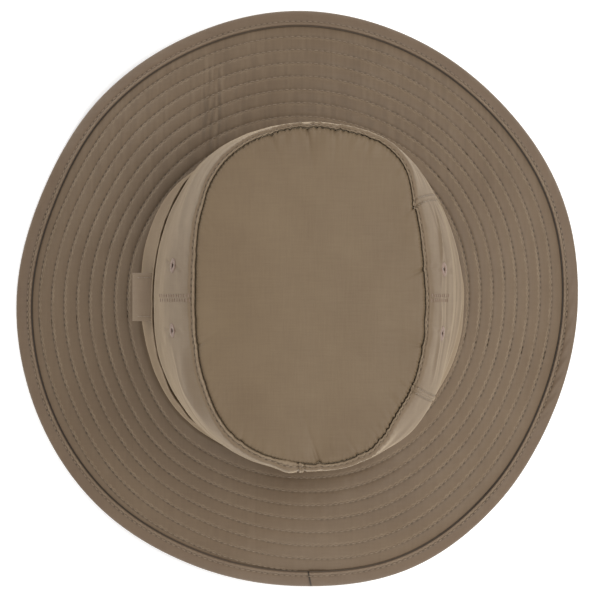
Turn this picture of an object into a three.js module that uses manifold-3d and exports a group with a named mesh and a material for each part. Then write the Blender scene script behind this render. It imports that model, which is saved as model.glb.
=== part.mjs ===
// A soft outback hat: an oval flat-topped cloth crown on a wide quilted brim.
// Millimetres, +Z up. The origin is on the surface the hat rests on, under the middle
// of its outline. +Y is the front, +X the wearer's right. Angles are in degrees about
// the crown's axis, 0 at the wearer's right and 90 at the front.
import * as THREE from 'three';
import { mergeVertices } from 'three/addons/utils/BufferGeometryUtils.js';
import Module from 'manifold-3d';

// ---- driving dimensions -------------------------------------------------------------
const GAP = 0.3;                     // clear space between neighbouring pieces
const AXIS = { x: 0.78, y: -1.21 };  // the crown's axis from the middle of the outline

const CROWN_CLOTH = 1.4;             // shell and lining together
const BAND_HEIGHT = 30;
const BAND_SWELL_HEIGHT = 8;         // where the band is widest, above its lower seam
const WALL_TUCK = 2.0;               // how far the wall hangs out over the band
const FOLD_HEIGHT = 4.5;             // of the wall's lowest fold, above the band
const BELLY_HEIGHT = 66;             // above the crown seam
const SHOULDER = { out: 3.0, down: 2.1 };
const WALL_ROWS = 10;                // points up the wall
const SEAM_GAP_RADIUS = 75;          // where the upright seams are GAP wide on each side

const TIP = { height: 135.5, saddle: 2.0, tilt: 1.0, dome: 2.2, roll: 0.9, rollWidth: 3.5 };
const TIP_RINGS = [1, 0.975, 0.93, 0.8, 0.6, 0.35];  // share of the tip's radius

const BRIM_CLOTH = 1.8;              // two layers of cloth, stitched together
const LEDGE = 3.0;                   // seam allowance of the brim inside the band
const BRIM_ROWS = 6;                 // points across the slope of the brim
const BINDING = { width: 9.2, tape: 1.0, bevel: 0.7 };

const LABEL = { front: 16.2, back: -12.2, reach: 94.6, thick: 1.8, rootDrop: 2.0, endDrop: 8.5 };
const EYELET = { outer: 3.6, inner: 1.9, thick: 1.9, sides: 16, facets: 6 };

// The three cloth panels of the crown's wall, each between two upright seams.
// lean is how far a seam's lower end lies from its upper end, in degrees.
const SEAMS = {
  front_right: { top: 39, lean: -6 },
  centre_back: { top: 271, lean: 0 },
  rear_right: { top: 322.5, lean: 3 },
};
const PANELS = [
  { name: 'side_wall_right', from: 'rear_right', to: 'front_right', steps: 13, turn: -360 },
  { name: 'side_wall_left', from: 'front_right', to: 'centre_back', steps: 38, turn: 0 },
  { name: 'side_wall_back', from: 'centre_back', to: 'rear_right', steps: 9, turn: 0 },
];

// Crown sections: radii of the band at its swell, the fold over the band, the belly of
// the wall and the seam round the tip.
const CROWN_SECTIONS = [
  { angle: 0, band: 94.5, fold: 92.0, belly: 84.0, tip: 69.1 },
  { angle: 20, band: 95.0, fold: 94.0, belly: 87.7, tip: 71.8 },
  { angle: 40, band: 95.8, fold: 97.3, belly: 95.5, tip: 82.1 },
  { angle: 50, band: 95.6, fold: 98.0, belly: 98.8, tip: 91.3 },
  { angle: 60, band: 95.0, fold: 98.0, belly: 100.4, tip: 96.1 },
  { angle: 80, band: 94.0, fold: 96.5, belly: 99.6, tip: 95.0 },
  { angle: 100, band: 93.4, fold: 95.0, belly: 97.3, tip: 91.8 },
  { angle: 120, band: 94.2, fold: 96.0, belly: 93.5, tip: 84.0 },
  { angle: 140, band: 96.2, fold: 89.5, belly: 83.0, tip: 69.7 },
  { angle: 160, band: 93.1, fold: 83.9, belly: 75.5, tip: 59.4 },
  { angle: 180, band: 90.2, fold: 81.6, belly: 73.5, tip: 56.2 },
  { angle: 200, band: 91.3, fold: 84.4, belly: 76.2, tip: 58.9 },
  { angle: 220, band: 93.6, fold: 88.2, belly: 81.5, tip: 67.0 },
  { angle: 245, band: 93.4, fold: 92.0, belly: 89.5, tip: 81.6 },
  { angle: 270, band: 92.8, fold: 92.4, belly: 93.8, tip: 88.2 },
  { angle: 295, band: 93.8, fold: 93.2, belly: 94.8, tip: 89.6 },
  { angle: 310, band: 95.2, fold: 94.0, belly: 95.5, tip: 81.6 },
  { angle: 325, band: 95.2, fold: 92.6, belly: 91.5, tip: 76.5 },
  { angle: 340, band: 94.8, fold: 91.2, belly: 85.8, tip: 71.8 },
];

// Brim sections: the seam at the crown, the outer edge, and how far the brim arches up
// (or sags) between them. An edge lower than the surface lies flattened on it.
const BRIM_SECTIONS = [
  { angle: 0, seam: 95.8, seamZ: 41, edge: 164.7, edgeZ: -2.2, arch: 1.2 },
  { angle: 22.5, seam: 96.6, seamZ: 41, edge: 166.9, edgeZ: 2.5, arch: 2.8 },
  { angle: 45, seam: 97.2, seamZ: 40.5, edge: 166.3, edgeZ: 8, arch: 1.8 },
  { angle: 67.5, seam: 95.2, seamZ: 40, edge: 167.6, edgeZ: 14, arch: 3.1 },
  { angle: 90, seam: 94.0, seamZ: 40, edge: 168.7, edgeZ: 21, arch: 4.6 },
  { angle: 112.5, seam: 93.4, seamZ: 39.5, edge: 167.0, edgeZ: 18.5, arch: 2.0 },
  { angle: 135, seam: 93.1, seamZ: 38, edge: 166.3, edgeZ: 8, arch: 3.0 },
  { angle: 157.5, seam: 93.8, seamZ: 36.5, edge: 163.8, edgeZ: -2.5, arch: 2.0 },
  { angle: 180, seam: 92.9, seamZ: 35, edge: 166.2, edgeZ: -2.2, arch: -0.2 },
  { angle: 202.5, seam: 94.4, seamZ: 35, edge: 167.6, edgeZ: 4.5, arch: -4.5 },
  { angle: 225, seam: 96.2, seamZ: 36.5, edge: 168.3, edgeZ: 11, arch: -4.8 },
  { angle: 247.5, seam: 94.5, seamZ: 38, edge: 166.6, edgeZ: 15, arch: 0.5 },
  { angle: 270, seam: 93.6, seamZ: 39.5, edge: 166.2, edgeZ: 22.5, arch: 9.0 },
  { angle: 292.5, seam: 94.6, seamZ: 40, edge: 168.8, edgeZ: 24, arch: 7.0 },
  { angle: 315, seam: 96.0, seamZ: 40.5, edge: 166.7, edgeZ: 10, arch: -0.8 },
  { angle: 337.5, seam: 96.0, seamZ: 41, edge: 163.9, edgeZ: -2.5, arch: 0.4 },
];

// Soft folds of the wall, running round the crown. depth is outwards, z the height.
const WALL_FOLDS = [
  { angle: 4, halfAngle: 26, z: 78, halfHeight: 5, depth: 0.9 },
  { angle: 2, halfAngle: 22, z: 88, halfHeight: 3.5, depth: -0.9 },
  { angle: 6, halfAngle: 24, z: 96, halfHeight: 4.5, depth: 0.9 },
  { angle: 0, halfAngle: 24, z: 106, halfHeight: 4, depth: -0.8 },
  { angle: 8, halfAngle: 26, z: 117, halfHeight: 5, depth: 1.1 },
  { angle: 133, halfAngle: 20, z: 112, halfHeight: 9, depth: 1.6 },
  { angle: 195, halfAngle: 24, z: 112, halfHeight: 10, depth: -1.0 },
];

// Broad shallow dents of the tip, from the crown's axis.
const TIP_DENTS = [
  { x: -42, y: -12, radius: 16, depth: 1.2 },
  { x: -36, y: -54, radius: 18, depth: 1.4 },
  { x: 52, y: 38, radius: 14, depth: 0.9 },
  { x: 56, y: -22, radius: 14, depth: 0.8 },
  { x: 4, y: 84, radius: 9, depth: 1.0 },
  { x: 11, y: -80, radius: 9, depth: 1.2 },
];

// Ventilation eyelets: where each sits on the wall.
const EYELETS = [
  { name: 'eyelet_left_front', angle: 164.4, z: 111 },
  { name: 'eyelet_left_back', angle: 193.4, z: 111 },
  { name: 'eyelet_right_front', angle: 12.1, z: 118.5 },
  { name: 'eyelet_right_back', angle: -12.9, z: 118.5 },
];

const CLOTH_COLOUR = '#82705a';
const BRIM_COLOUR = '#786650';
const LABEL_COLOUR = '#816f5c';
const THREAD_COLOUR = '#96816c';

// ---- small helpers --------------------------------------------------------------------
const { lerp, degToRad, radToDeg, euclideanModulo } = THREE.MathUtils;

// Value of a table's column at any angle: a closed cubic through the rows.
function at(table, column, angle) {
  const n = table.length;
  const a = euclideanModulo(angle, 360);
  let i = n - 1;
  while (i > 0 && table[i].angle > a) i -= 1;
  const row = (k) => ({
    x: table[euclideanModulo(k, n)].angle + 360 * Math.floor(k / n),
    y: table[euclideanModulo(k, n)][column],
  });
  const [p, q, r, s] = [row(i - 1), row(i), row(i + 1), row(i + 2)];
  const span = r.x - q.x;
  const t = (a - q.x) / span;
  const slopeQ = ((r.y - p.y) / (r.x - p.x)) * span;
  const slopeR = ((s.y - q.y) / (s.x - q.x)) * span;
  const t2 = t * t;
  const t3 = t2 * t;
  return (2 * t3 - 3 * t2 + 1) * q.y + (t3 - 2 * t2 + t) * slopeQ
    + (3 * t2 - 2 * t3) * r.y + (t3 - t2) * slopeR;
}

// A smooth bump, 1 at the middle and 0.14 one half-width away.
const bump = (offset, half) => Math.exp(-2 * (offset / half) ** 2);

function polar(angle, radius, z) {
  const a = degToRad(angle);
  return new THREE.Vector3(radius * Math.cos(a), radius * Math.sin(a), z);
}

// A solid through loops of equal length. An open one is closed by end caps, which need
// each loop to run up one face of the cloth and back down the other.
function loft(loops, closed) {
  const count = loops[0].length;
  const points = loops.flat();
  const positions = points.flatMap((p) => [p.x, p.y, p.z]);
  const index = [];
  // The upper diagonal splits a bent face, so stacked layers split alike and stay clear.
  const quad = (a, b, c, d) => {
    const [za, zb, zc, zd] = [a, b, c, d].map((i) => points[i].z);
    if (za + zc >= zb + zd) index.push(a, b, c, a, c, d);
    else index.push(a, b, d, b, c, d);
  };
  const spans = closed ? loops.length : loops.length - 1;
  for (let i = 0; i < spans; i += 1) {
    const here = i * count;
    const next = ((i + 1) % loops.length) * count;
    for (let k = 0; k < count; k += 1) {
      const up = (k + 1) % count;
      quad(here + k, next + k, next + up, here + up);
    }
  }
  if (!closed) {
    const last = (loops.length - 1) * count;
    for (let k = 0; k < count / 2 - 1; k += 1) {
      const back = count - 1 - k;
      quad(k, k + 1, back - 1, back);
      quad(last + k, last + back, last + back - 1, last + k + 1);
    }
  }
  return outward(solidGeometry(positions, index));
}

function solidGeometry(positions, index) {
  const geometry = new THREE.BufferGeometry();
  geometry.setAttribute('position', new THREE.Float32BufferAttribute(positions, 3));
  geometry.setIndex(index);
  return geometry;
}

// Turns a closed shape's faces to point out, judged by its signed volume.
function outward(geometry) {
  const p = geometry.attributes.position;
  const index = geometry.index.array;
  const corner = (i) => new THREE.Vector3().fromBufferAttribute(p, index[i]);
  let volume = 0;
  for (let i = 0; i < index.length; i += 3) {
    volume += corner(i).dot(corner(i + 1).cross(corner(i + 2)));
  }
  if (volume < 0) {
    for (let i = 0; i < index.length; i += 3) {
      [index[i], index[i + 1]] = [index[i + 1], index[i]];
    }
  }
  geometry.computeVertexNormals();
  return geometry;
}

// The inner face of a cloth wall, from its outer face as points of radius and height.
function innerFace(outer, thickness, firstOffset, lastOffset) {
  return outer.map((p, i) => {
    if (i === 0) return p.clone().add(firstOffset);
    if (i === outer.length - 1) return p.clone().add(lastOffset);
    const along = outer[i + 1].clone().sub(outer[i - 1]).normalize();
    return new THREE.Vector2(p.x - along.y * thickness, p.y + along.x * thickness);
  });
}

const stations = PANELS.flatMap((panel) => {
  const from = SEAMS[panel.from].top + panel.turn;
  const to = SEAMS[panel.to].top;
  return Array.from({ length: panel.steps }, (_, i) => lerp(from, to, i / panel.steps));
});

// ---- brim -----------------------------------------------------------------------------
const REST_Z = BRIM_CLOTH / 2 + GAP + BINDING.tape;  // middle of the brim where it lies flat

function brimMiddle(angle, share) {
  const b = (column) => at(BRIM_SECTIONS, column, angle);
  const slope = lerp(b('seamZ'), b('edgeZ'), share) + 4 * b('arch') * share * (1 - share);
  return new THREE.Vector2(lerp(b('seam'), b('edge'), share), Math.max(slope, REST_Z));
}

// Share of the brim's slope at a distance in from its outer edge.
function shareFromEdge(angle, inset) {
  return 1 - inset / (at(BRIM_SECTIONS, 'edge', angle) - at(BRIM_SECTIONS, 'seam', angle));
}

const rimPoint = (angle, inset) => brimMiddle(angle, shareFromEdge(angle, inset));

const bandFoot = (angle) => Math.min(
  at(BRIM_SECTIONS, 'seam', angle) - 0.5,
  at(CROWN_SECTIONS, 'band', angle) - 0.3,
);

function brimLoop(angle) {
  const bound = shareFromEdge(angle, BINDING.width);
  const middle = Array.from({ length: BRIM_ROWS + 1 }, (_, i) => (
    brimMiddle(angle, (bound * i) / BRIM_ROWS)
  ));
  middle.push(rimPoint(angle, BINDING.width / 2), rimPoint(angle, BINDING.tape + GAP));
  middle.unshift(new THREE.Vector2(bandFoot(angle) - LEDGE, middle[0].y));
  const top = middle.map((p) => polar(angle, p.x, p.y + BRIM_CLOTH / 2));
  const bottom = middle.map((p) => polar(angle, p.x, p.y - BRIM_CLOTH / 2));
  return [...top, ...bottom.reverse()];
}

function bindingLoop(angle) {
  const insets = [BINDING.width, BINDING.width / 2, BINDING.tape, BINDING.bevel, 0];
  const [start, middle, inside, corner, edge] = insets.map((inset) => rimPoint(angle, inset));
  const inner = BRIM_CLOTH / 2 + GAP;
  const outer = inner + BINDING.tape;
  const upper = [
    [start, outer], [middle, outer], [corner, outer], [edge, outer - BINDING.bevel],
  ];
  const lower = [
    [edge, BINDING.bevel - outer], [corner, -outer], [middle, -outer], [start, -outer],
    [start, -inner], [middle, -inner], [inside, -inner],
    [inside, inner], [middle, inner], [start, inner],
  ];
  return [...upper, ...lower].map(([p, lift]) => polar(angle, p.x, p.y + lift));
}

// ---- crown ----------------------------------------------------------------------------
const seamTop = (angle) => at(BRIM_SECTIONS, 'seamZ', angle) + BRIM_CLOTH / 2;
const bandTop = (angle) => seamTop(angle) + GAP + BAND_HEIGHT;

function tipEdgeZ(angle) {
  const a = degToRad(angle);
  return TIP.height - TIP.saddle * Math.cos(2 * a) + TIP.tilt * Math.cos(a);
}

function bandLoop(angle) {
  const foot = seamTop(angle) + GAP;
  const top = bandTop(angle);
  const head = at(CROWN_SECTIONS, 'fold', angle) - WALL_TUCK;
  const swell = at(CROWN_SECTIONS, 'band', angle);
  const outer = [
    new THREE.Vector2(bandFoot(angle), foot),
    new THREE.Vector2(swell, foot + BAND_SWELL_HEIGHT),
    new THREE.Vector2(lerp(swell, head, 0.45), foot + BAND_HEIGHT * 0.62),
    new THREE.Vector2(head, top),
  ];
  const sideways = new THREE.Vector2(-CROWN_CLOTH, 0);
  const inner = innerFace(outer, CROWN_CLOTH, sideways, sideways);
  return [...outer, ...inner.reverse()].map((p) => polar(angle, p.x, p.y));
}

function wallFold(angle, z) {
  return WALL_FOLDS.reduce((sum, fold) => {
    const turn = euclideanModulo(angle - fold.angle + 180, 360) - 180;
    return sum + fold.depth * bump(turn, fold.halfAngle) * bump(z - fold.z, fold.halfHeight);
  }, 0);
}

// The wall's outer face at one angle, from the band up to the tip's seam.
function wallOuter(angle) {
  const c = (column) => at(CROWN_SECTIONS, column, angle);
  const foot = bandTop(angle) + GAP;
  const seamZ = tipEdgeZ(angle);
  const curve = new THREE.SplineCurve([
    new THREE.Vector2(c('fold') - WALL_TUCK, foot),
    new THREE.Vector2(c('fold'), foot + FOLD_HEIGHT),
    new THREE.Vector2(c('belly'), seamTop(angle) + BELLY_HEIGHT),
    new THREE.Vector2(c('tip') + SHOULDER.out, seamZ - SHOULDER.down),
    new THREE.Vector2(c('tip') + GAP / 2, seamZ),
  ]);
  return Array.from({ length: WALL_ROWS }, (_, i) => {
    const p = curve.getPoint(wallShare(i));
    p.x += wallFold(angle, p.y);
    return p;
  });
}

// Rows crowd towards the fold at the wall's foot and the roll at its top.
function wallShare(row) {
  const even = row / (WALL_ROWS - 1);
  return even - 0.035 * Math.sin(4 * Math.PI * even);
}

function wallGeometry({ from, to, steps, turn }) {
  const sideways = new THREE.Vector2(-CROWN_CLOTH, 0);
  const down = new THREE.Vector2(0, -CROWN_CLOTH);
  const start = SEAMS[from];
  const end = SEAMS[to];
  const seamGap = radToDeg(GAP / SEAM_GAP_RADIUS);
  const sections = Array.from({ length: steps + 1 }, (_, i) => {
    const across = i / steps;
    const inset = seamGap * (1 - 2 * across) * Number(i === 0 || i === steps);
    const rows = Array.from({ length: WALL_ROWS }, (_row, k) => {
      const fromTop = 1 - k / (WALL_ROWS - 1);
      const a = start.top + start.lean * fromTop + turn;
      const b = end.top + end.lean * fromTop;
      const angle = lerp(a, b, across) + inset;
      const outer = wallOuter(angle);
      const inner = innerFace(outer, CROWN_CLOTH, sideways, down);
      return [outer[k], inner[k]].map((p) => polar(angle, p.x, p.y));
    });
    return [...rows.map((pair) => pair[0]), ...rows.reverse().map((pair) => pair[1])];
  });
  return loft(sections, false);
}

// ---- tip --------------------------------------------------------------------------------
function tipTop(angle, share) {
  const radius = at(CROWN_SECTIONS, 'tip', angle) - GAP / 2;
  const p = polar(angle, radius * share, 0);
  const fromEdge = radius * (1 - share);
  const roll = TIP.roll * (1 - Math.exp(-fromEdge / TIP.rollWidth));
  const middle = TIP.height + TIP.dome;
  p.z = lerp(middle, tipEdgeZ(angle), share ** 2) + roll;
  TIP_DENTS.forEach((dent) => {
    p.z -= dent.depth * bump(Math.hypot(p.x - dent.x, p.y - dent.y), dent.radius);
  });
  return p;
}

function tipGeometry() {
  const positions = [];
  const index = [];
  const put = (p, drop) => positions.push(p.x, p.y, p.z - drop);
  const rings = TIP_RINGS.length;
  const n = stations.length;
  [0, CROWN_CLOTH].forEach((drop) => {
    TIP_RINGS.forEach((share) => stations.forEach((angle) => put(tipTop(angle, share), drop)));
    put(tipTop(0, 0), drop);
  });
  const under = rings * n + 1;
  for (let i = 0; i < n; i += 1) {
    const j = (i + 1) % n;
    for (let r = 0; r < rings - 1; r += 1) {
      const [a, b, c, d] = [r * n + i, r * n + j, (r + 1) * n + j, (r + 1) * n + i];
      index.push(a, b, c, a, c, d);
      index.push(under + a, under + c, under + b, under + a, under + d, under + c);
    }
    const last = (rings - 1) * n;
    index.push(last + i, last + j, rings * n);
    index.push(under + last + j, under + last + i, under + rings * n);
    index.push(under + i, under + j, j, under + i, j, i);
  }
  return outward(solidGeometry(positions, index));
}

// ---- label ------------------------------------------------------------------------------
// A doubled cloth tab that comes out from under the wall's fold and hangs over the brim.
function labelGeometry() {
  const rows = 7;
  const sections = Array.from({ length: rows }, (_, i) => {
    const y = lerp(LABEL.back, LABEL.front, i / (rows - 1));
    const root = labelRoot(y);
    const end = new THREE.Vector2(LABEL.reach, root.y - LABEL.endDrop);
    const curve = new THREE.QuadraticBezierCurve(root, new THREE.Vector2(
      lerp(root.x, end.x, 0.55), root.y - 0.6,
    ), end);
    const top = curve.getPoints(5);
    const nose = end.clone().add(new THREE.Vector2(0.6, -LABEL.thick / 2 + 0.35));
    const noseLow = end.clone().add(new THREE.Vector2(0.6, -LABEL.thick / 2 - 0.35));
    const bottom = top.map((p) => new THREE.Vector2(p.x, p.y - LABEL.thick));
    const loop = [...top, nose, noseLow, ...bottom.reverse()];
    return loop.map((p) => new THREE.Vector3(-p.x, y, p.y));
  });
  return loft(sections, false);
}

// Where the label leaves the band, as distance from the axis and height of its top face.
function labelRoot(y) {
  const z = bandTop(180) - LABEL.rootDrop;
  const angle = 180 - radToDeg(Math.asin(y / 80));
  const head = at(CROWN_SECTIONS, 'fold', angle) - WALL_TUCK;
  const swell = at(CROWN_SECTIONS, 'band', angle);
  const bandSlope = (lerp(swell, head, 0.45) - head) / (BAND_HEIGHT * 0.38);
  const radius = head + bandSlope * (LABEL.rootDrop + LABEL.thick) + GAP * 2;
  return new THREE.Vector2(Math.sqrt(radius * radius - y * y), z);
}

// ---- eyelets ----------------------------------------------------------------------------
// The middle of the wall's cloth at an eyelet, and the direction out of the cloth.
function eyeletSeat({ angle, z }) {
  const surface = (a, height) => {
    const outer = wallOuter(a);
    const k = outer.findIndex((p) => p.y > height);
    const t = (height - outer[k - 1].y) / (outer[k].y - outer[k - 1].y);
    return polar(a, lerp(outer[k - 1].x, outer[k].x, t), height);
  };
  const point = surface(angle, z);
  const round = surface(angle + 2, z).sub(surface(angle - 2, z));
  const up = surface(angle, z + 3).sub(surface(angle, z - 3));
  const normal = round.cross(up).normalize();
  return { normal, point: point.addScaledVector(normal, -CROWN_CLOTH / 2) };
}

function eyeletGeometry() {
  const centre = (EYELET.outer + EYELET.inner) / 2;
  const half = (EYELET.outer - EYELET.inner) / 2;
  const around = EYELET.facets;
  const profile = Array.from({ length: around + 1 }, (_, i) => {
    const a = (2 * Math.PI * (i % around)) / around;
    return new THREE.Vector2(centre + half * Math.cos(a), (EYELET.thick / 2) * Math.sin(a));
  });
  return new THREE.LatheGeometry(profile, EYELET.sides);
}

const axisUp = new THREE.Vector3(0, 1, 0);
const standOn = (normal) => new THREE.Quaternion().setFromUnitVectors(axisUp, normal);

// ---- booleans ---------------------------------------------------------------------------
const wasm = await Module();
wasm.setup();

function toManifold(geometry) {
  const bare = geometry.clone();
  bare.deleteAttribute('normal');
  bare.deleteAttribute('uv');
  const merged = mergeVertices(bare, 1e-4);
  return new wasm.Manifold(new wasm.Mesh({
    numProp: 3,
    vertProperties: new Float32Array(merged.attributes.position.array),
    triVerts: new Uint32Array(merged.index.array),
  }));
}

function fromManifold(manifold) {
  const { vertProperties, triVerts } = manifold.getMesh();
  const geometry = solidGeometry(Array.from(vertProperties), Array.from(triVerts));
  geometry.computeVertexNormals();
  return geometry;
}

// The round holes that the eyelets fill, cut through every panel that has one.
function withEyeletHoles(geometry) {
  const cutter = new THREE.CylinderGeometry(EYELET.outer + GAP, EYELET.outer + GAP, 8, EYELET.sides);
  const cut = EYELETS.reduce((wall, eyelet) => {
    const { point, normal } = eyeletSeat(eyelet);
    const hole = cutter.clone().applyQuaternion(standOn(normal)).translate(point.x, point.y, point.z);
    return wall.subtract(toManifold(hole));
  }, toManifold(geometry));
  return fromManifold(cut);
}

// ---- assembly ---------------------------------------------------------------------------
const cloth = (color) => new THREE.MeshStandardMaterial({ color, roughness: 0.85, metalness: 0 });
const crownCloth = cloth(CLOTH_COLOUR);
const brimCloth = cloth(BRIM_COLOUR);

const hat = new THREE.Group();
hat.position.set(AXIS.x, AXIS.y, 0);

function add(name, geometry, material) {
  const mesh = new THREE.Mesh(geometry, material);
  mesh.name = name;
  hat.add(mesh);
  return mesh;
}

add('brim', loft(stations.map(brimLoop), true), brimCloth);
add('brim_binding', loft(stations.map(bindingLoop), true), cloth(BRIM_COLOUR));
add('hat_band', loft(stations.map(bandLoop), true), crownCloth);
PANELS.forEach((panel) => add(panel.name, withEyeletHoles(wallGeometry(panel)), crownCloth));
add('crown_tip', tipGeometry(), crownCloth);
add('label_tab', labelGeometry(), cloth(LABEL_COLOUR));

EYELETS.forEach((eyelet) => {
  const { point, normal } = eyeletSeat(eyelet);
  const ring = add(eyelet.name, eyeletGeometry(), cloth(THREAD_COLOUR));
  ring.position.copy(point);
  ring.quaternion.copy(standOn(normal));
});

const part = new THREE.Group();
part.add(hat);
export default part;
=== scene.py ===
import bisect
import functools
import math
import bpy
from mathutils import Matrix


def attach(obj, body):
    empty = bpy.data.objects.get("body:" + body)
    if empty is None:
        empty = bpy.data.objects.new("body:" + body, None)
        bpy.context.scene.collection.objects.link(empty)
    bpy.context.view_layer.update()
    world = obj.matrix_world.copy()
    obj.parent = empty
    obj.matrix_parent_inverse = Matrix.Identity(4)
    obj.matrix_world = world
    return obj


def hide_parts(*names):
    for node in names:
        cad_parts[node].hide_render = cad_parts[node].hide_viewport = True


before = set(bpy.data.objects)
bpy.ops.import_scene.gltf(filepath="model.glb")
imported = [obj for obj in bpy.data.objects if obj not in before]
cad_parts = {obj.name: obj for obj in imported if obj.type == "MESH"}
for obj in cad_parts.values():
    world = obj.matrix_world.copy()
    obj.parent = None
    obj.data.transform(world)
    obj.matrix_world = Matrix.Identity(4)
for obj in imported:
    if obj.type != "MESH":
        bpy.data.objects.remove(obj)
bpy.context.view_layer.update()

import types

import bmesh
import bpy
from mathutils import Matrix, Vector, noise

MM = 0.001  # sizes are in millimetres, and meshes in metres

# ---- Floor, light and camera ----
# A plain pale floor, lit a little from below like a light table, under an even studio
# sky. Large softboxes stand to the wearer's right and left and behind, and the camera
# looks straight down from 1.6 m.
FLOOR = {"half": 3.0, "drop": 0.1, "glow": 0.3}  # in metres, in mm, and in strength
CAMERA = {"x": 1.67, "y": -0.92, "z": 1600.0, "lens": 162.7, "sensor": 36.0, "far": 20.0}
SKY = {"colour": "#ffffff", "strength": 0.62}
SOFTBOXES = (
    # name, place in metres, side in metres, watts
    ("softbox_right", (1.05, 0.15, 1.8), 1.1, 31.5),
    ("softbox_left", (-1.4, 1.2, 0.7), 1.0, 12.5),
    ("softbox_back", (-0.2, -1.6, 1.0), 1.1, 13.0),
)


def linear(colour):
    """An sRGB hex colour as linear light, with an alpha of 1."""
    channels = [int(colour[i : i + 2], 16) / 255 for i in (1, 3, 5)]
    light = [c / 12.92 if c <= 0.04045 else ((c + 0.055) / 1.055) ** 2.4 for c in channels]
    return (*light, 1.0)


def add_node(tree, kind, inputs=None, settings=None):
    """Adds a node. Its inputs are values or links, and its settings are properties."""
    node = tree.nodes.new("ShaderNode" + kind)
    for name, value in (settings or {}).items():
        setattr(node, name, value)
    for name, value in (inputs or {}).items():
        if isinstance(value, bpy.types.NodeSocket):
            tree.links.new(value, node.inputs[name])
        else:
            node.inputs[name].default_value = value
    return node


def new_material(name):
    """An empty material and its node tree."""
    material = bpy.data.materials.new(name)
    material.use_nodes = True
    material.node_tree.nodes.clear()
    return material, material.node_tree


def add_shader(tree, inputs):
    """Ends a material's tree with a shader that has these inputs."""
    shader = add_node(tree, "BsdfPrincipled", inputs)
    add_node(tree, "OutputMaterial", {"Surface": shader.outputs["BSDF"]})


def new_object(name, shape, *materials):
    """A smooth-shaded object at the origin, made from a mesh or a bmesh."""
    mesh = shape
    if isinstance(shape, bmesh.types.BMesh):
        mesh = bpy.data.meshes.new(name)
        shape.to_mesh(mesh)
        shape.free()
    mesh.shade_smooth()
    for material in materials:
        mesh.materials.append(material)
    piece = bpy.data.objects.new(name, mesh)
    bpy.context.scene.collection.objects.link(piece)
    return piece


paper, tree = new_material("matt studio paper")
add_shader(
    tree,
    {
        "Base Color": linear("#f7f7f6"),
        "Roughness": 0.9,
        "Specular IOR Level": 0.1,
        "Emission Color": linear("#ffffff"),
        "Emission Strength": FLOOR["glow"],
    },
)
bm = bmesh.new()
bmesh.ops.create_grid(bm, x_segments=4, y_segments=4, size=FLOOR["half"])
bmesh.ops.translate(bm, verts=bm.verts, vec=(0, 0, -FLOOR["drop"] * MM))
floor = new_object("floor", bm, paper)

world = bpy.data.worlds.new("studio sky")
world.use_nodes = True
world.node_tree.nodes.clear()
light = {"Color": linear(SKY["colour"]), "Strength": SKY["strength"]}
sky = add_node(world.node_tree, "Background", light)
add_node(world.node_tree, "OutputWorld", {"Surface": sky.outputs[0]})
bpy.context.scene.world = world
bpy.context.scene.view_settings.view_transform = "Standard"

for name, place, side, watts in SOFTBOXES:
    lamp = bpy.data.lights.new(name, "AREA")
    lamp.size = side
    lamp.energy = watts
    stand = bpy.data.objects.new(name, lamp)
    stand.location = place
    stand.rotation_euler = Vector(place).to_track_quat("Z", "Y").to_euler()
    bpy.context.scene.collection.objects.link(stand)

lens = bpy.data.cameras.new("camera")
lens.lens = CAMERA["lens"]
lens.sensor_width = CAMERA["sensor"]
lens.clip_end = CAMERA["far"]
camera = bpy.data.objects.new("camera", lens)
camera.location = [CAMERA[axis] * MM for axis in "xyz"]
bpy.context.scene.collection.objects.link(camera)
bpy.context.scene.camera = camera

# ---- Brim ----
# Two layers of nylon cloth over a soft interlining, stitched together in one long
# spiral from the crown to the edge, so each channel swells a little between its rows.
CROWN_AXIS = (0.78, -1.21)  # from the middle of the outline
BRIM_HALF = 0.9  # half the brim's thickness
REST_Z = 2.2  # middle of the brim where it lies on its binding
REST_BLEND = 0.8
BRIM_COLUMNS = ("angle", "seam", "seam_z", "edge", "edge_z", "arch")
BRIM_ROWS = (
    (0, 95.8, 41, 164.7, -2.2, 1.2),
    (22.5, 96.6, 41, 166.9, 2.5, 2.8),
    (45, 97.2, 40.5, 166.3, 8, 1.8),
    (67.5, 95.2, 40, 167.6, 14, 3.1),
    (90, 94.0, 40, 168.7, 21, 4.6),
    (112.5, 93.4, 39.5, 167.0, 18.5, 2.0),
    (135, 93.1, 38, 166.3, 8, 3.0),
    (157.5, 93.8, 36.5, 163.8, -2.5, 2.0),
    (180, 92.9, 35, 166.2, -2.2, -0.2),
    (202.5, 94.4, 35, 167.6, 4.5, -4.5),
    (225, 96.2, 36.5, 168.3, 11, -4.8),
    (247.5, 94.5, 38, 166.6, 15, 0.5),
    (270, 93.6, 39.5, 166.2, 22.5, 9.0),
    (292.5, 94.6, 40, 168.8, 24, 7.0),
    (315, 96.0, 40.5, 166.7, 10, -0.8),
    (337.5, 96.0, 41, 163.9, -2.5, 0.4),
)
SPIRAL_START = 270.0  # the angle where each turn of the stitching begins
FIRST_SHARE = 0.0089  # share of the slope at the spiral's start
FIRST_STITCH_SHARE = 0.012
TURN_SHARE = 0.1045  # share of the slope that one turn takes
TURNS = 8
SPIRAL_DRIFTS = (
    # middle and half-width in degrees, shift and stretch of the share
    (150, 22, -0.012, -0.012),
    (207, 26, -0.024, 0.0),
    (286, 34, 0.004, 0.048),
)
CHANNEL = 7.6  # width of a channel between two rows
GROOVE = {"depth": 0.68, "width": 1.05}
PUFF = 0.42
PRESSED = 0.25  # how much the stitching flattens each half of the brim
QUILTED = (0.0, 0.86)  # shares of the slope between which the channels swell
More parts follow.
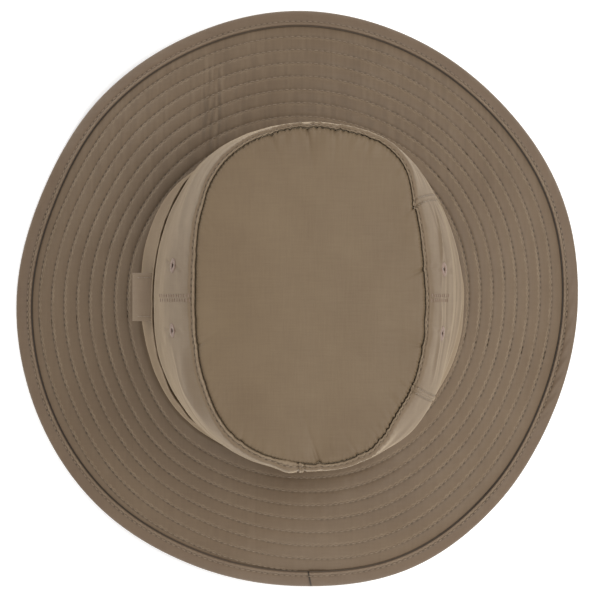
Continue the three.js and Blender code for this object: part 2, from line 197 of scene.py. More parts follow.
# Where the quilting is pulled less tight: middle and half-width in degrees, and how much.
SLACK = ((85, 40, 0.5), (137, 25, 0.3), (266, 70, 0.65))
CHANNEL_STEPS = (0.0, 0.06, 0.14, 0.27, 0.5, 0.73, 0.86, 0.94)
BRIM_STEPS_ROUND = 540
BRIM_WITHIN = 0.12  # metres from the middle to between the brim's two open edges
LEDGE_SHARE = -0.04  # seam allowance inside the band
BRIM_END = 1.5  # the cloth stops this far inside the binding's fold
STITCHES_FIRST_TURN = 183
STITCHES_ADDED = 14  # more in each further turn
STITCH = {"length": 2.5, "width": 0.6, "height": 0.5, "pitch": 3.42, "rise": 0.14}
# The painted shade round a needle hole, in mm.
HOLE = {"length": 1.25, "width": 0.75, "lean": 0.35}  # from its middle to its faded end
# A row's painted marks: how strong the painted shade of the holes and the furrow and the
# painted highlight of the pale line are, how far the pale line lies from the row, and how
# far both swing from stitch to stitch.
ROW = {"hole": 0.7, "furrow": 0.46, "pale": 0.46, "pale_at": 1.1, "swing": 0.32}
# Patches, so many to a metre, where the rows' painted shade and highlight are weaker.
PATCHY_MARKS_PER_METRE = 170.0  # where the marks are weaker
# Fine ribs of painted shade and highlight: their sizes in mm, how dark and pale they are,
# and the x where they gather to a crease.
RIBS = {"across": 2.1, "along": 30.0, "crease": -49.0, "dark": 0.11, "pale": 0.08}
THREAD_ASIDE = 0.4  # the thread lies this far inwards of the furrow
# The real yarns lie 0.25 mm apart, too fine to show, so they are drawn 1.1 mm apart.
YARN = {"across": 1.1, "along": 14.0, "height": 0.12}
PATCHES_PER_METRE = 26.0  # broad, barely darker patches of the cloth
# Creases that run fore and aft across the channels: x, two ends in y, half-width, depth.
BRIM_CREASES = (
    (-53.0, 84, 128, 1.3, 0.3),
    (-51.0, 82, 130, 1.2, -0.45),
    (-49.0, 82, 138, 1.1, 0.6),
    (-46.8, 82, 138, 1.2, -0.5),
    (-44.6, 86, 130, 1.2, 0.35),
    (-40.5, 88, 120, 1.5, 0.25),
    (-58.5, 96, 124, 1.6, 0.2),
    (-34.5, 100, 140, 1.6, 0.2),
    (-29.0, -140, -104, 2.0, 0.25),
    (-25.0, -146, -100, 1.8, -0.22),
)


def lerp(a, b, share):
    return a + (b - a) * share


def bell(offset, half_width):
    """1 at the middle, and 0.14 one half-width away."""
    return math.exp(-2 * (offset / half_width) ** 2)


def between(value, low, high, soft):
    """1 between two limits and 0 outside, with soft edges."""
    rise = min(max((value - low) / soft + 0.5, 0.0), 1.0)
    fall = min(max((high - value) / soft + 0.5, 0.0), 1.0)
    return rise * fall


def turned(angle, middle):
    """An angle measured from another, from -180 to 180."""
    return (angle - middle + 180.0) % 360.0 - 180.0


def ring_noise(angle, size, aside=0.0, seed=0):
    """Smooth noise from -1 to 1 that closes round the hat. size is that of its patches in
    mm along an arc of 100 mm radius."""
    a = math.radians(angle)
    spot = Vector((100 / size * math.cos(a), 100 / size * math.sin(a), aside + 37.7 * seed))
    return noise.noise(spot)


def cubic(t, start, end, slope_start, slope_end):
    """A cubic curve at t from 0 to 1, from its ends and its slopes there."""
    return (
        (2 * t**3 - 3 * t**2 + 1) * start
        + (t**3 - 2 * t**2 + t) * slope_start
        + (3 * t**2 - 2 * t**3) * end
        + (t**3 - t**2) * slope_end
    )


def closed_cubic(columns, rows):
    """Values at any angle of a table whose first column is the angle."""
    ring = [(row[0] + lap, *row[1:]) for lap in (-360.0, 0.0, 360.0) for row in rows]

    @functools.lru_cache(maxsize=None)
    def values(angle):
        turn = angle % 360.0
        after = bisect.bisect(ring, (turn, math.inf))
        p, q, r, s = ring[after - 2 : after + 2]
        span = r[0] - q[0]
        found = {}
        for c, column in enumerate(columns[1:], 1):
            slope_q = (r[c] - p[c]) / (r[0] - p[0]) * span
            slope_r = (s[c] - q[c]) / (s[0] - q[0]) * span
            found[column] = cubic((turn - q[0]) / span, q[c], r[c], slope_q, slope_r)
        return types.SimpleNamespace(**found)

    return values


brim_at = closed_cubic(BRIM_COLUMNS, BRIM_ROWS)


def offsets(angle, radius):
    """How far a point lies from the crown's axis in x and y."""
    return radius * math.cos(math.radians(angle)), radius * math.sin(math.radians(angle))


def from_axis(angle, radius, z):
    """A point of the hat in metres, from its angle, radius and height in millimetres."""
    x, y = offsets(angle, radius)
    return Vector((CROWN_AXIS[0] + x, CROWN_AXIS[1] + y, z)) * MM


def brim_middle(angle, share):
    """Radius and height of the brim's middle layer: share 0 at the crown, 1 at the edge."""
    b = brim_at(angle)
    along = max(share, 0.0)
    slope = lerp(b.seam_z, b.edge_z, along) + 4 * b.arch * along * (1 - along)
    above = slope - REST_Z
    return lerp(b.seam, b.edge, share), REST_Z + (above + math.hypot(above, REST_BLEND)) / 2


def share_from_edge(angle, inset):
    """Share of the slope at a distance in from the brim's edge."""
    b = brim_at(angle)
    return 1 - inset / (b.edge - b.seam)


def spiral_share(turn, angle):
    """Share of the slope that the spiral has reached, which drifts a little round the hat."""
    share = FIRST_SHARE + TURN_SHARE * turn
    for middle, half_width, shift, stretch in SPIRAL_DRIFTS:
        near = bell(turned(angle, middle), half_width)
        share += near * (shift + stretch * share)
    return share


def crossing_creases(angle, radius):
    """How far the creases across the channels lift the cloth."""
    x, y = offsets(angle, radius)
    return sum(
        depth * bell(x - middle, half_width) * between(y, low, high, 12)
        for middle, low, high, half_width, depth in BRIM_CREASES
        if abs(x - middle) < 5
    )


def brim_face(angle, row, side):
    """A point of the brim's upper (side 1) or lower (side -1) face. row counts channels
    out along a spoke of the spiral, so a whole number lies on a row of stitching."""
    fraction = (angle - SPIRAL_START) / 360.0
    share = spiral_share(row + fraction, angle)
    aside = abs(row - round(row))
    sewn = between(round(row) + fraction, 0.0, TURNS, 0.03)
    tight = 1 - sum(less * bell(turned(angle, middle), width) for middle, width, less in SLACK)
    sunk = sewn * tight * GROOVE["depth"]
    groove = sunk * math.exp(-((aside * CHANNEL / GROOVE["width"]) ** 1.2))
    puff = PUFF * lerp(1, tight, 0.7) * (1 - (1 - 2 * aside) ** 2)
    share = min(max(share, LEDGE_SHARE), share_from_edge(angle, BRIM_END))
    radius, z = brim_middle(angle, share)
    out = share / TURN_SHARE
    ripple = ring_noise(angle, 4.5, 1.1 * out) + 0.6 * ring_noise(angle, 2.2, 2.0 * out, 1)
    pucker = 0.2 * ripple * (0.4 + 2 * aside) + 0.3 * ring_noise(angle, 22, 0.5 * out, 12)
    loose = between(share, *QUILTED, 0.04)
    lift = BRIM_HALF - PRESSED + (puff - groove + PRESSED * (1 - loose)) * loose
    wave = (pucker + crossing_creases(angle, radius)) * loose
    return from_axis(angle, radius, z + side * lift + wave)


def cloth_grid(bm, columns, rows, place, chart):
    """Adds a grid to a mesh and moves each corner to place(column, row). chart gives the
    corner's place in the piece's UV map."""
    layer = bm.loops.layers.uv.verify()
    made = bmesh.ops.create_grid(bm, x_segments=columns, y_segments=rows, size=0.5)
    spots = {
        v: (round((v.co.x + 0.5) * columns), round((v.co.y + 0.5) * rows)) for v in made["verts"]
    }
    for face in {face for v in made["verts"] for face in v.link_faces}:
        for loop in face.loops:
            loop[layer].uv = chart(*spots[loop.vert])
    for v, spot in spots.items():
        v.co = place(*spot)


def close_cloth(bm, *groups):
    """Merges a mesh's seams, closes it, and turns its faces out. Each group picks the open
    edges that are joined to each other in a pair of loops. The rest are capped."""
    bmesh.ops.remove_doubles(bm, verts=bm.verts, dist=0.004 * MM)
    bmesh.ops.dissolve_degenerate(bm, dist=0.001 * MM, edges=bm.edges)
    for group in groups:
        bmesh.ops.bridge_loops(bm, edges=[e for e in bm.edges if e.is_boundary and group(e)])
    open_edges = [e for e in bm.edges if e.is_boundary]
    if open_edges:
        bmesh.ops.holes_fill(bm, edges=open_edges, sides=0)
    bmesh.ops.recalc_face_normals(bm, faces=bm.faces)


def new_cloth(name, columns, rows, place, material, chart=lambda i, j: (i * MM, j * MM)):
    """A closed piece made from one grid of cloth."""
    bm = bmesh.new()
    cloth_grid(bm, columns, rows, place, chart)
    close_cloth(bm)
    return new_object(name, bm, material)


def stitched(name, stitches, material, size=STITCH):
    """One mesh of many stitches, each a grain of thread half sunk in the cloth. A stitch is
    its middle, the direction it runs in, and the way out of the cloth."""
    grain = bmesh.new()
    bmesh.ops.create_uvsphere(grain, u_segments=6, v_segments=5, radius=0.5 * MM)
    grain.verts.index_update()
    corners = [v.co.copy() for v in grain.verts]
    faces = [[v.index for v in face.verts] for face in grain.faces]
    grain.free()
    points, polygons = [], []
    for middle, along, out in stitches:
        along = along.normalized()
        side = along.cross(out).normalized()
        up = side.cross(along)
        turn = Matrix((side * size["width"], up * size["height"], along * size["length"]))
        turn.transpose()
        start = len(points)
        points.extend(turn @ corner + middle for corner in corners)
        polygons.extend([start + i for i in face] for face in faces)
    mesh = bpy.data.meshes.new(name)
    mesh.from_pydata(points, [], polygons)
    piece = new_object(name, mesh, material)
    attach(piece, "root")


def calculated(tree, operation, *inputs):
    """The result of a sum on values or links."""
    node = add_node(tree, "Math", dict(enumerate(inputs)), {"operation": operation})
    return node.outputs[0]


def scaled(tree, value, low, high, start=0.0, end=1.0, curve="LINEAR"):
    """A value that goes from start to end while another goes from low to high."""
    inputs = {"Value": value, "From Min": low, "From Max": high, "To Min": start, "To Max": end}
    return add_node(tree, "MapRange", inputs, {"interpolation_type": curve}).outputs[0]


def mixed(tree, share, low, high):
    """A colour between two others."""
    return add_node(tree, "Mix", {0: share, 6: low, 7: high}, {"data_type": "RGBA"}).outputs[2]


def mottled(tree, place, scale, detail, roughness=0.5):
    """Noise from 0 to 1."""
    inputs = {"Vector": place, "Scale": scale, "Detail": detail, "Roughness": roughness}
    return add_node(tree, "TexNoise", inputs).outputs[0]


def stretched(tree, place, sizes):
    """A place divided by sizes in mm along x, y and z, so that noise there stretches."""
    inputs = {0: place, 1: [1 / (size * MM) for size in sizes]}
    return add_node(tree, "VectorMath", inputs, {"operation": "MULTIPLY"}).outputs[0]


def woven_nylon(name, colours, sheen=0.4, marks=None, relief=1.0):
    """Matt nylon cloth, plain-woven from fine yarn: soft, with a faint silky sheen where
    it turns away from the eye. marks describes a row of stitching, in two more colours:
    painted shade and painted highlight."""
    material, tree = new_material(name)
    low, high, *marked = (linear(colour) for colour in colours)
    place = add_node(tree, "TexCoord").outputs["Object"]
    across, along = YARN["across"], YARN["along"]
    warp, weft = (
        mottled(tree, stretched(tree, place, sizes), 1.0, 2.0, 0.6)
        for sizes in ((across, along, along), (along, across, along))
    )
    weave = calculated(tree, "ADD", warp, weft)
    patches = mottled(tree, place, PATCHES_PER_METRE, 3.0, 0.55)
    tone = calculated(tree, "MULTIPLY_ADD", weave, 0.4, patches)
    shade = mixed(tree, scaled(tree, tone, 0.6, 1.2), low, high)
    height = weave
    if marks:
        # The rows' painted shade and painted highlight, mixed into the cloth's colour.
        dark, pale = row_marks(tree, **marks)
        shade = mixed(tree, pale, shade, marked[1])
        shade = mixed(tree, dark, shade, marked[0])
        height = calculated(tree, "MULTIPLY_ADD", dark, -2.0, weave)
    inputs = {"Height": height, "Strength": 0.35 * relief, "Distance": YARN["height"] * MM}
    bump = add_node(tree, "Bump", inputs)
    add_shader(
        tree,
        {
            "Base Color": shade,
            "Roughness": scaled(tree, tone, 0.7, 1.4, 0.66, 0.56),
            "Specular IOR Level": 0.35,
            "Sheen Weight": sheen,
            "Sheen Roughness": 0.35,
            "Sheen Tint": linear("#e8d3b4"),
            "Normal": bump.outputs[0],
        },
    )
    return material


def row_marks(
    tree, first, added=0, rows=1, pale_side=-1, faint=None, dark_from=None, cut=None, ribs=False
):
    """What a row of stitching shows on the cloth, painted into its colour: painted shade in a
    furrow with the stitches' holes in it, and a painted highlight in a line to one side,
    where the cloth is drawn up. The UV map holds the share of a turn, and the row as a
    whole number with the distance from it in channels. The first row has first stitches,
    and each further one has added more. The marks are weak at the faint share of a turn
    and half a turn from it. Beyond dark_from mm, and at the share of a turn in cut, the
    cloth ends in painted shadow. ribs adds fine fore-and-aft ones, in painted shade and
    highlight."""
    times, times_plus, less, most, size_of = (
        functools.partial(calculated, tree, operation)
        for operation in ("MULTIPLY", "MULTIPLY_ADD", "SUBTRACT", "MAXIMUM", "ABSOLUTE")
    )
    eased = functools.partial(scaled, tree, curve="SMOOTHSTEP")
    coords = add_node(tree, "TexCoord").outputs
    turn, row, _ = add_node(tree, "SeparateXYZ", {0: coords["UV"]}).outputs

    whole = calculated(tree, "ROUND", row)
    reached = times_plus(turn, times_plus(whole, added, first), 0.5)
    phase = less(calculated(tree, "FRACT", reached), 0.5)
    swing = calculated(tree, "COSINE", times(phase, 2 * math.pi))
    straight = times(less(row, whole), CHANNEL)
    aside = times_plus(swing, ROW["swing"] * pale_side, straight)
    along = times(phase, STITCH["pitch"] / HOLE["length"])
    across = times_plus(along, HOLE["lean"], times(straight, 1 / HOLE["width"]))
    far = calculated(tree, "SQRT", times_plus(along, along, times(across, across)))
    uneven = mottled(tree, coords["Object"], PATCHY_MARKS_PER_METRE, 1.0)
    seen = scaled(tree, uneven, 0.35, 0.65, 0.35, 1.0)
    seen = times(seen, calculated(tree, "GREATER_THAN", row, -0.5))
    seen = times(seen, calculated(tree, "LESS_THAN", row, rows - 0.5))
    if faint is not None:
        away = size_of(calculated(tree, "SINE", times(less(turn, faint), 2 * math.pi)))
        seen = times(seen, eased(away, 0.0, 1.0, 0.5, 1.0))
    # Painted shade in the holes and along the furrow, and a painted highlight in the pale line.
    hole = eased(far, 0.3, 1.0, ROW["hole"], 0.0)
    furrow = eased(size_of(aside), 0.1, 0.75, ROW["furrow"], 0.0)
    dark = times(most(hole, furrow), seen)
    off_pale = size_of(less(aside, ROW["pale_at"] * pale_side))
    pale = times(eased(off_pale, 0.1, 0.85, ROW["pale"], 0.0), seen)
    if dark_from is not None:
        # Painted shadow past dark_from and at the lap's cut end.
        shadow = eased(times(row, CHANNEL), dark_from - 0.15, dark_from + 0.15, 0.0, 0.95)
        shadow = times(shadow, eased(away, 0.0, 0.8, 0.6, 1.0))
        off_cut = size_of(less(times_plus(row, 0.0012, turn), cut))
        dark = most(dark, most(shadow, eased(off_cut, 0.0002, 0.0007, 0.9, 0.0)))
    if ribs:
        # Fine ribs of painted shade and highlight, stronger near the crease.
        sizes = [RIBS[side] for side in ("across", "along", "along")]
        wavy = mottled(tree, stretched(tree, coords["Object"], sizes), 1.0, 1.0)
        x, y, _ = add_node(tree, "SeparateXYZ", {0: coords["Object"]}).outputs
        creased = eased(size_of(less(x, RIBS["crease"] * MM)), 0.003, 0.01, 1.6, 0.0)
        creased = times(creased, eased(y, 0.075, 0.09, 0.0, 1.0))
        creased = times(creased, eased(y, 0.125, 0.15, 1.0, 0.0))
        weight = calculated(tree, "ADD", eased(y, 0.03, 0.1, 0.3, 1.0), creased)
        # Painted shade in the ribs' hollows and painted highlight on their ridges.
        hollow, ridge = (
            times(eased(wavy, 0.5, limit, 0.0, RIBS[tone]), weight)
            for limit, tone in ((0.68, "dark"), (0.32, "pale"))
        )
        dark, pale = most(dark, hollow), most(pale, ridge)
    return dark, pale


def new_thread(name, streaks, detail, low, high):
    """Thread in two tones, which change in fine streaks, so many to a metre."""
    material, tree = new_material(name)
    place = add_node(tree, "TexCoord").outputs["Object"]
    shade = mixed(tree, mottled(tree, place, streaks, detail), linear(low), linear(high))
    shine = {"Roughness": 0.5, "Specular IOR Level": 0.4, "Sheen Weight": 0.2}
    add_shader(tree, {"Base Color": shade, **shine})
    return material


quilting = {"first": STITCHES_FIRST_TURN, "added": STITCHES_ADDED, "rows": TURNS}
# The brim's spiral rows get painted shade in their furrows and holes and a painted highlight
# beside them.
brim_nylon = woven_nylon(
    "quilted khaki nylon",
    # the last two colours are the painted shade and the painted highlight
    ("#5d4c3a", "#655441", "#2e251b", "#877660"),
    # ribs adds fine fore-and-aft ribs of painted shade and highlight
    marks={**quilting, "faint": 0.5, "ribs": True},
)
row_places = [turn + step for turn in range(-2, 10) for step in CHANNEL_STEPS] + [10.0]
bm = bmesh.new()
for side in (1, -1):
    cloth_grid(
        bm,
        BRIM_STEPS_ROUND,
        len(row_places) - 1,
        lambda i, j: brim_face(SPIRAL_START + 360.0 * i / BRIM_STEPS_ROUND, row_places[j], side),
        lambda i, j: (i / BRIM_STEPS_ROUND, row_places[j]),
    )
close_cloth(
    bm,
    lambda e: e.verts[0].co.xy.length < BRIM_WITHIN,
    lambda e: e.verts[0].co.xy.length > BRIM_WITHIN,
)
brim = new_object("brim_cloth", bm, brim_nylon)
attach(brim, "root")
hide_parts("brim")

thread = new_thread("spun polyester thread", 2200.0, 1.0, "#6b5a47", "#816f5a")
for side, name in ((1, "brim_thread"), (-1, "brim_thread_below")):
    stitches = []
    for turn in range(TURNS):
        count = STITCHES_FIRST_TURN + STITCHES_ADDED * turn
        for i in range(count):
            lap = i / count
            if spiral_share(turn + lap, SPIRAL_START + 360.0 * lap) < FIRST_STITCH_SHARE:
                continue
            angles = [SPIRAL_START + 360.0 * (i + step) / count for step in (0.2, 0.5, 0.8)]
            row = turn - THREAD_ASIDE / CHANNEL
            points = [brim_face(angle, row, side) for angle in angles]
            outward = points[1] - Vector((0, 0, points[1].z))
            along = points[2] - points[0]
            rise = Vector((0, 0, side * STITCH["rise"] * MM))
            stitches.append((points[1] + rise, along, side * outward.cross(along)))
    stitched(name, stitches, thread)

# ---- Binding ----
# A bias tape of the same nylon, folded over the brim's edge and stitched through near
# its inner edge. Its ends lap at the back, where the upper one is turned under.
BINDING = {"gap": 0.25, "row": 6.7, "row_lift": 1.78, "below": 2.2}
BINDING_INSIDE = (8.9, 1.2)  # insets between which its inner face lies on the brim
BINDING_STEPS_ROUND = 600
BINDING_ROWS = (
    # inset from the outer edge, and the tape's outer face above the brim's middle layer
    (9.75, 1.3),
    (9.5, 1.42),
    (9.1, 1.5),
    (8.95, 1.9),
    (8.75, 2.22),
    (8.35, 2.4),
    (7.9, 2.36),
    (7.4, 2.15),
    (7.0, 1.9),
    (BINDING["row"], BINDING["row_lift"]),
    (6.4, 1.9),
    (5.9, 2.16),
    (5.0, 2.34),
    (4.0, 2.4),
    (3.0, 2.38),
    (2.0, 2.26),
    (1.2, 2.0),
    (0.5, 1.45),
    (0.1, 0.7),
    (0.0, 0.0),
)
BINDING_STITCHES = 306
DRAGS = 90  # slanted ripples round the tape
# From this inset in, the tape's turned-under inner edge is painted in shadow.
TAPE_EDGE = 8.95  # where the tape's inner edge is turned under, in shadow
LAP = {"angle": 272.2, "length": 10.0, "raise": 0.8}


def binding_face(angle, inset, lift, side):
    """A point of the tape, on the upper (side 1) or lower (side -1) half of its fold."""
    share = share_from_edge(angle, inset)
    radius, z = brim_middle(angle, share)
    drag = math.sin(math.radians(angle) * DRAGS + 1.1 * inset + 2 * ring_noise(angle, 20, 0, 2))
    drag *= max(0.0, 0.5 + ring_noise(angle, 25, 0, 3)) * 0.2 + 0.3 * bell(turned(angle, -12), 15)
    drag += 0.12 * ring_noise(angle, 4, inset / 4, 4)
    puffed = between(inset, 0.6, 6.0, 1.5) * 0.9 + between(inset, 7.6, 9.4, 0.8) * 0.3
    lapped = math.radians(turned(angle, LAP["angle"])) * radius
    lap = LAP["raise"] * between(lapped, 0.0, LAP["length"], 0.05) * (side > 0)
    lap *= 1 - 0.5 * max(lapped, 0.0) / LAP["length"] if lap else 0.0
    depth = lift + (drag * puffed + lap) * min(lift / 1.5, 1.0)
    return from_axis(angle, radius, max(z + side * depth, 0.02))


# The tape's section as (inset, lift, side): up its outer face and back inside.
tape_loop = [(inset, lift, 1) for inset, lift in BINDING_ROWS]
tape_loop += [(inset, min(lift, BINDING["below"]), -1) for inset, lift in BINDING_ROWS[-2::-1]]
inner = BRIM_HALF + BINDING["gap"]
tape_loop += [(inset, inner, -1) for inset in BINDING_INSIDE]
tape_loop += [(inset, inner, 1) for inset in BINDING_INSIDE[::-1]] + tape_loop[:1]
tape_angles = [360.0 * i / BINDING_STEPS_ROUND for i in range(BINDING_STEPS_ROUND + 1)]
tape_angles = sorted(tape_angles + [LAP["angle"] - 0.03, LAP["angle"] + 0.03])
# The tape's row of stitching gets painted shade in its furrow and holes and a painted highlight
# beside it.
tape_row = {"first": BINDING_STITCHES, "pale_side": 1, "faint": 0.25}
# The tape's inner edge and the lap's cut end are painted in shadow.
tape_ends = {"dark_from": TAPE_EDGE - BINDING["row"], "cut": LAP["angle"] / 360}
binding_nylon = woven_nylon(
    "khaki nylon bias tape",
    # the last two colours are the painted shade and the painted highlight
    ("#5d4c3c", "#665543", "#241c14", "#877660"),
    sheen=0.2,
    marks={**tape_row, **tape_ends},
)
binding = new_cloth(
    "binding_tape",
    len(tape_angles) - 1,
    len(tape_loop) - 1,
    lambda i, j: binding_face(tape_angles[i], *tape_loop[j]),
    binding_nylon,
    lambda i, j: (tape_angles[i] / 360, (tape_loop[j][0] - BINDING["row"]) / CHANNEL),
)
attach(binding, "root")
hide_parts("brim_binding")

stitches = []
for i in range(BINDING_STITCHES):
    angles = [360.0 * (i + step) / BINDING_STITCHES for step in (0.2, 0.5, 0.8)]
    points = [binding_face(a, BINDING["row"], BINDING["row_lift"], 1) for a in angles]
    outward = from_axis(angles[1], 10, 0) - from_axis(angles[1], 0, 0)
    along = points[2] - points[0]
    stitches.append((points[1] + Vector((0, 0, 0.12 * MM)), along, outward.cross(along)))
stitched("binding_thread", stitches, thread)

# ---- Hat band ----
# A strip of crown nylon that stands up from the brim's seam. The wall is sewn to its
# top edge and hangs out over it on the left.
CROWN_CLOTH = 1.2
GAP = 0.3
BAND_HEIGHT = 30.0
CROWN_COLUMNS = ("angle", "band", "fold", "belly", "tip")
CROWN_ROWS = (
    (0, 94.5, 92.0, 84.0, 69.1),
    (20, 95.0, 94.0, 87.7, 71.8),
    (40, 95.8, 97.3, 95.5, 82.1),
    (50, 95.6, 98.0, 98.8, 91.3),
    (60, 95.0, 98.0, 100.4, 96.1),
    (80, 94.0, 96.5, 98.9, 95.0),
    (100, 93.4, 95.0, 96.7, 91.8),
    (120, 94.2, 96.0, 93.5, 84.0),
    (140, 96.2, 89.5, 83.0, 69.7),
    (160, 93.1, 83.9, 75.5, 59.4),
    (180, 90.2, 81.6, 73.5, 56.2),
    (200, 91.3, 84.4, 76.2, 58.9),
    (220, 93.6, 88.2, 83.5, 67.0),
    (245, 93.4, 92.0, 90.3, 81.6),
    (270, 92.8, 92.4, 93.8, 88.2),
    (295, 93.8, 93.2, 94.8, 89.6),
    (310, 95.2, 94.0, 95.5, 81.6),
    (325, 95.2, 92.6, 91.5, 76.5),
    (340, 94.8, 91.2, 85.8, 71.8),
)
BAND_STEPS_ROUND = 420
CURVE_STEPS = 14  # between two knots of a smooth curve
crown_at = closed_cubic(CROWN_COLUMNS, CROWN_ROWS)


def seam_top(angle):
    return brim_at(angle).seam_z + BRIM_HALF


def band_top(angle):
    return seam_top(angle) + GAP + BAND_HEIGHT


def smooth_curve(knots, shares):
    """Points of a smooth curve through the knots, at the given shares of its length."""
    count = len(knots)
    steps = [math.dist(knots[i], knots[i + 1]) for i in range(count - 1)]
    slopes = []
    for i in range(count):
        a, b = max(i - 1, 0), min(i + 1, count - 1)
        slopes.append([(knots[b][k] - knots[a][k]) / sum(steps[a:b]) for k in (0, 1)])
    line = [knots[0]]
    for i, run in enumerate(steps):
        ends = list(zip(knots[i], knots[i + 1], slopes[i], slopes[i + 1]))
        for k in range(1, CURVE_STEPS + 1):
            t = k / CURVE_STEPS
            line.append(tuple(cubic(t, a, b, out * run, back * run) for a, b, out, back in ends))
    reached = [0.0]
    for a, b in zip(line, line[1:]):
        reached.append(reached[-1] + math.dist(a, b))
    points = []
    for share in shares:
        goal = share * reached[-1]
        k = min(max(bisect.bisect_left(reached, goal) - 1, 0), len(line) - 2)
        t = (goal - reached[k]) / max(reached[k + 1] - reached[k], 1e-9)
        points.append(tuple(lerp(a, b, t) for a, b in zip(line[k], line[k + 1])))
    return points


def offset_curve(points, distance):
    """The curve moved sideways, towards the inside of the crown."""
    moved = []
    for i, (r, z) in enumerate(points):
        a, b = points[max(i - 1, 0)], points[min(i + 1, len(points) - 1)]
        run = max(math.dist(a, b), 1e-9)
        moved.append((r - (b[1] - a[1]) / run * distance, z + (b[0] - a[0]) / run * distance))
    return moved


BAND_SHARES = [i / 44 for i in range(45)]
BAND_PUFFED = (127.0, 234.0)  # from and to an angle
# The puff's knots: mm out and up from its top, and the share of the plain band it leaves.
BAND_SHOULDER = ((0.9, -4.0, 0.87), (1.7, -0.6, 0.93), (0.9, 0.5, 0.97), (0.1, -1.6, 0.99))


@functools.lru_cache(maxsize=None)
def band_loop(angle):
    """The band's section: up its outer face, and down its inner one. On the left it puffs
    up round the wall's foot, which leaves a deep crevice between them."""
    c = crown_at(angle)
    foot = seam_top(angle) + 0.1
    base = min(brim_at(angle).seam - 0.5, c.band - 0.3)
    head = (c.fold - 2.3, band_top(angle) - 0.3)
    puffed = between(angle, *BAND_PUFFED, 14)
    outer = [
        (base - 0.6, foot),
        (base, foot + 0.9),
        (c.band, foot + 8.5),
        (lerp(c.band, head[0], 0.45), foot + 18.6),
    ]
    plain = smooth_curve(outer + [head], BAND_SHARES)
    if puffed:
        for out, up, share in BAND_SHOULDER:
            low = plain[round(share * (len(plain) - 1))]
            ragged = 0.45 * ring_noise(angle, 6, 0, 17) * (share > 0.9)
            shoulder = (c.fold + out + ragged, head[1] + up)
            outer.append(tuple(lerp(a, b, puffed) for a, b in zip(low, shoulder)))
    outer = smooth_curve(outer + [head], BAND_SHARES)
    return outer + offset_curve(plain, CROWN_CLOTH)[::-1]


def band_face(angle, j):
    loop = band_loop(angle)
    radius, z = loop[j % len(loop)]
    return from_axis(angle, radius + 0.5 * ring_noise(angle, 17, z / 26, 5), z)


band = new_cloth(
    "band_strip",
    BAND_STEPS_ROUND,
    2 * len(BAND_SHARES),
    lambda i, j: band_face(360.0 * i / BAND_STEPS_ROUND, j),
    # The crown's nylon, painted lighter on the band to stand in for the light its steep face
    # catches.
    woven_nylon("khaki crown nylon, painted lighter on the band", ("#705e49", "#786650")),
    lambda i, j: (1.4 * i * MM, j * MM),
)
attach(band, "root")
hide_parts("hat_band")

# ---- Side walls ----
# Three panels of crown nylon, joined by upright double-stitched seams. Their tops are
# turned in at the tip's seam and top-stitched, and their feet roll in over the band.
WALL_COLUMN = 0.75  # degrees
# Columns beside a seam, in mm from it.
SEAM_COLUMNS = (0.0, 0.25, 0.5, 0.9, 1.3, 1.6, 1.9, 2.3, 2.7, 3.0, 3.25, 3.6, 4.2, 5.0)
SEAM_GAP = 0.04  # from a panel's end to the middle of the seam
SEAM_REACH = 80.0  # the crown's mean radius there
WALL_LENGTH = 78.0  # along the cloth from foot to tip, for spacing the rows
# Rows of the panels' grids: in mm from the foot, in mm from the tip, and between those.
FOOT_STEPS = (0.0, 0.7, 1.4, 2.1, 2.9, 3.8, 5.0, 6.5)
TOP_STEPS = (10.0, 8.8, 7.6, 6.6, 5.8, 5.1, 4.5) + tuple(4.0 - 0.4 * i for i in range(11))
MIDDLE_STEPS = 62
# Tucks where the edges of tip and wall were eased together: angle, length in mm, depth.
TUCKS = (
    (87.1, 7.0, 2.0),
    (77.6, 5.0, 1.3),
    (99.5, 5.0, 1.2),
    (66.0, 4.0, 0.7),
    (13.9, 5.0, 1.1),
    (277.2, 8.0, 1.9),
    (291.0, 5.0, 1.0),
    (300.5, 4.0, 0.9),
    (248.0, 4.0, 0.6),
    (204.0, 7.0, 0.7),
    (340.0, 6.0, 0.8),
)
TIP = {"height": 135.5, "saddle": 2.0, "tilt": 1.0, "dome": 2.2}
TOP_ROW = {"inset": 2.9, "less": 0.5, "depth": 0.95, "width": 0.85, "puff": 0.45}
TOP_STITCHES = 152
SEAMS = {
    # the raised strip between the two rows lies from low to high mm beside the seam
    "front_right": {"top": 39.0, "lean": -6.0, "low": 0.3, "high": 3.1},
    "centre_back": {"top": 271.0, "lean": 0.0, "low": -1.7, "high": 1.7},
    "rear_right": {"top": 322.5, "lean": 3.0, "low": -1.5, "high": 1.6},
}
FELLED = {"rise": 0.45, "groove": 0.95, "width": 0.55}
PANELS = (
    ("wall_cloth_right", "side_wall_right", "rear_right", "front_right", -360.0),
    ("wall_cloth_left", "side_wall_left", "front_right", "centre_back", 0.0),
    ("wall_cloth_back", "side_wall_back", "centre_back", "rear_right", 0.0),
)
EYELETS = {
    "eyelet_left_front": (164.4, 111.0),
    "eyelet_left_back": (193.4, 111.0),
    "eyelet_right_front": (12.1, 118.5),
    "eyelet_right_back": (-12.9, 118.5),
}
